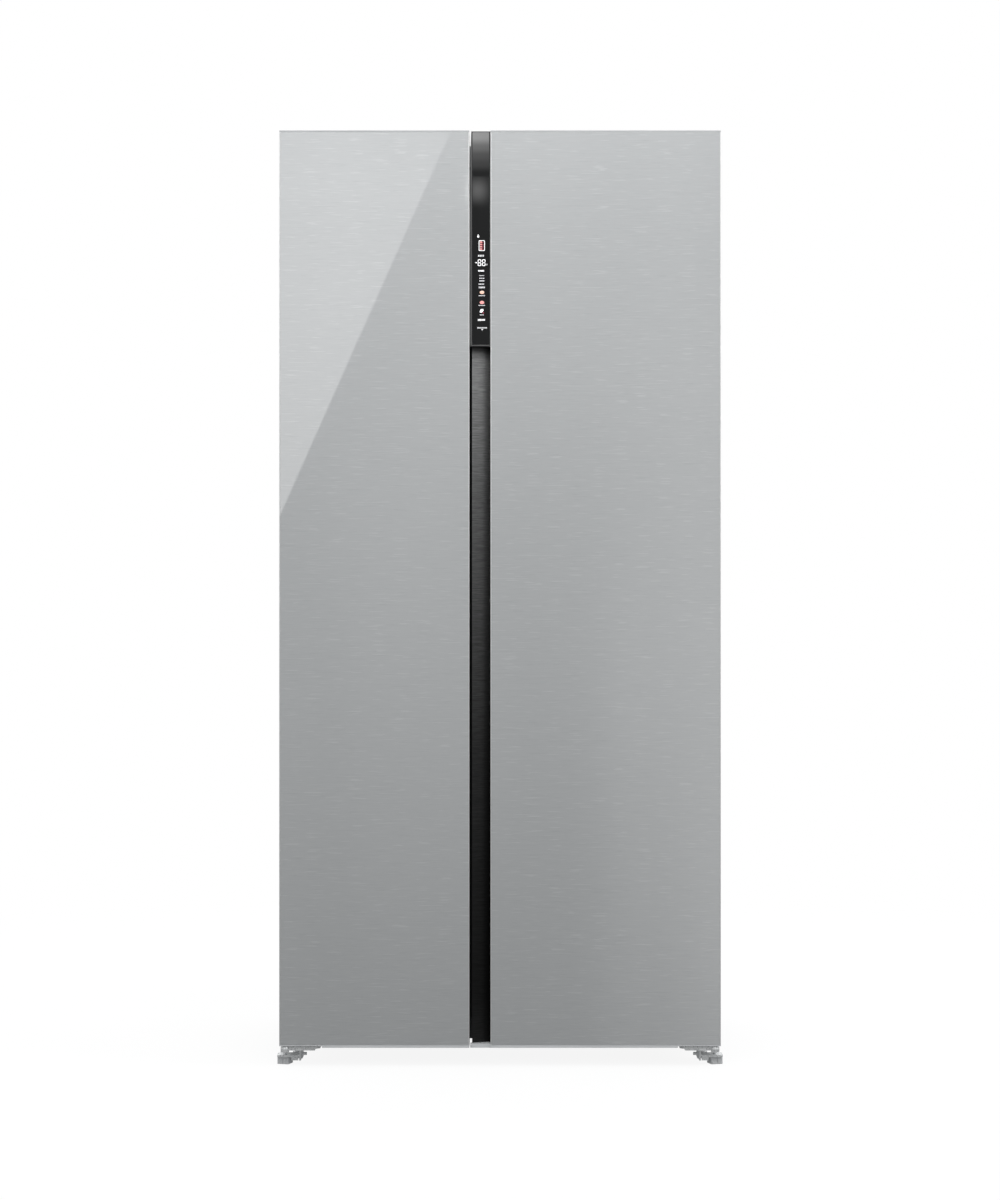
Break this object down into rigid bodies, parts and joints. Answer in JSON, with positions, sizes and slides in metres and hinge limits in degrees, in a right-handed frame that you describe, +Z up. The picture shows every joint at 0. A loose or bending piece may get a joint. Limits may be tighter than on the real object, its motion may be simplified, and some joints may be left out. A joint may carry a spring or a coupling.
{
  "type": "side by side refrigerator",
  "caption": "Tall two-door refrigerator with a narrow freezer door and a wide fridge door, a grip channel between them, an upright touch display, shelves, drawers and door bins.",
  "frame": {"origin": "on the floor, below the middle of the outline", "axes": "+X to the right of someone facing the doors, +Y to the back, +Z up; the doors face -Y"},
  "size_m": [0.8484, 0.656, 1.773],
  "materials": {
    "door_glass": "clear gloss over a silver brushed print",
    "edge_metal": "satin",
    "cap_plastic": "satin silver",
    "grip_dark": "dark brushed",
    "foam": "cut foam",
    "liner_white": "satin",
    "gasket_grey": "soft matte",
    "clear_plastic": "clear, slightly blue",
    "display_glass": "black gloss",
    "trim_grey": "satin",
    "shell_paint": "silver grey, fine texture",
    "back_steel": "galvanised",
    "zinc_steel": "zinc plated",
    "foot_plastic": "moulded",
    "roller_plastic": "moulded",
    "shelf_glass": "clear, with pale rails",
    "duct_white": "satin",
    "coil_aluminium": "bare",
    "fan_black": "moulded",
    "lamp_lens": "frosted",
    "compressor_black": "black enamel",
    "cover_black": "powder coat",
    "gland_black": "matte"
  },
  "bodies": {
    "cabinet": {"back_panel": "back_steel", "base_pan": "cover_black", "cabinet_screws": "zinc_steel", "cabinet_shell": "shell_paint", "compressor": "compressor_black", "cord_gland": "gland_black", "evaporator": "coil_aluminium", "freezer_air_duct": "duct_white", "freezer_lamp": "lamp_lens", "freezer_liner": "liner_white", "freezer_shelf_1": "shelf_glass", "freezer_shelf_2": "shelf_glass", "freezer_shelf_3": "shelf_glass", "freezer_shelf_4": "shelf_glass", "fridge_air_duct": "duct_white", "fridge_lamp": "lamp_lens", "fridge_liner": "liner_white", "fridge_shelf_1": "shelf_glass", "fridge_shelf_2": "shelf_glass", "fridge_shelf_3": "shelf_glass", "fridge_shelf_4": "shelf_glass", "insulation_foam": "foam", "left_bottom_bracket": "zinc_steel", "left_hinge_cover": "trim_grey", "left_top_hinge": "zinc_steel", "machine_cover": "cover_black", "mullion_cover": "shell_paint", "rear_roller_brackets": "zinc_steel", "right_bottom_bracket": "zinc_steel", "right_hinge_cover": "trim_grey", "right_top_hinge": "zinc_steel"},
    "left_foot": {"left_foot": "foot_plastic"},
    "right_foot": {"right_foot": "foot_plastic"},
    "left_front_roller": {"left_front_roller": "roller_plastic"},
    "right_front_roller": {"right_front_roller": "roller_plastic"},
    "left_rear_roller": {"left_rear_roller": "roller_plastic"},
    "right_rear_roller": {"right_rear_roller": "roller_plastic"},
    "evaporator_fan": {"evaporator_fan": "fan_black"},
    "freezer_drawer_lower": {"freezer_drawer_lower": "clear_plastic"},
    "freezer_drawer_upper": {"freezer_drawer_upper": "clear_plastic"},
    "crisper_drawer_lower": {"crisper_drawer_lower": "clear_plastic"},
    "crisper_drawer_upper": {"crisper_drawer_upper": "clear_plastic"},
    "left_door": {"left_door_glass": "door_glass", "left_door_frame": "edge_metal", "left_door_end_caps": "cap_plastic", "left_door_core": "foam", "left_door_liner": "liner_white", "left_door_gasket": "gasket_grey", "left_door_grip": "grip_dark", "left_door_bins": "clear_plastic"},
    "right_door": {"right_door_glass": "door_glass", "right_door_frame": "edge_metal", "right_door_end_caps": "cap_plastic", "right_door_core": "foam", "right_door_liner": "liner_white", "right_door_gasket": "gasket_grey", "right_door_grip": "grip_dark", "right_door_bins": "clear_plastic", "display_housing": "trim_grey", "display_panel": "display_glass"}
  },
  "joints": [
    {"name": "left_door_hinge", "type": "hinge", "parent": "cabinet", "child": "left_door", "pos_m": [-0.4, -0.296, 0.9], "axis": [0, 0, -1], "range_deg": [0, 115]},
    {"name": "right_door_hinge", "type": "hinge", "parent": "cabinet", "child": "right_door", "pos_m": [0.4, -0.296, 0.9], "axis": [0, 0, 1], "range_deg": [0, 115]},
    {"name": "freezer_drawer_lower_slide", "type": "slide", "parent": "cabinet", "child": "freezer_drawer_lower", "axis": [0, -1, 0], "range_m": [0, 0.118]},
    {"name": "freezer_drawer_upper_slide", "type": "slide", "parent": "cabinet", "child": "freezer_drawer_upper", "axis": [0, -1, 0], "range_m": [0, 0.118]},
    {"name": "crisper_drawer_lower_slide", "type": "slide", "parent": "cabinet", "child": "crisper_drawer_lower", "axis": [0, -1, 0], "range_m": [0, 0.118]},
    {"name": "crisper_drawer_upper_slide", "type": "slide", "parent": "cabinet", "child": "crisper_drawer_upper", "axis": [0, -1, 0], "range_m": [0, 0.118]},
    {"name": "left_foot_screw", "type": "hinge", "parent": "cabinet", "child": "left_foot", "pos_m": [-0.41, -0.285, 0.008], "axis": [0, 0, 1], "continuous": true},
    {"name": "left_front_roller_axle", "type": "hinge", "parent": "cabinet", "child": "left_front_roller", "pos_m": [-0.389, -0.236, 0.0108], "axis": [1, 0, 0], "continuous": true},
    {"name": "left_rear_roller_axle", "type": "hinge", "parent": "cabinet", "child": "left_rear_roller", "pos_m": [-0.358, 0.272, 0.016], "axis": [1, 0, 0], "continuous": true},
    {"name": "right_foot_screw", "type": "hinge", "parent": "cabinet", "child": "right_foot", "pos_m": [0.41, -0.285, 0.008], "axis": [0, 0, 1], "continuous": true},
    {"name": "right_front_roller_axle", "type": "hinge", "parent": "cabinet", "child": "right_front_roller", "pos_m": [0.389, -0.236, 0.0108], "axis": [1, 0, 0], "continuous": true},
    {"name": "right_rear_roller_axle", "type": "hinge", "parent": "cabinet", "child": "right_rear_roller", "pos_m": [0.358, 0.272, 0.016], "axis": [1, 0, 0], "continuous": true},
    {"name": "evaporator_fan_spin", "type": "hinge", "parent": "cabinet", "child": "evaporator_fan", "pos_m": [-0.2245, 0.233, 0.95], "axis": [0, 1, 0], "continuous": true}
  ]
}
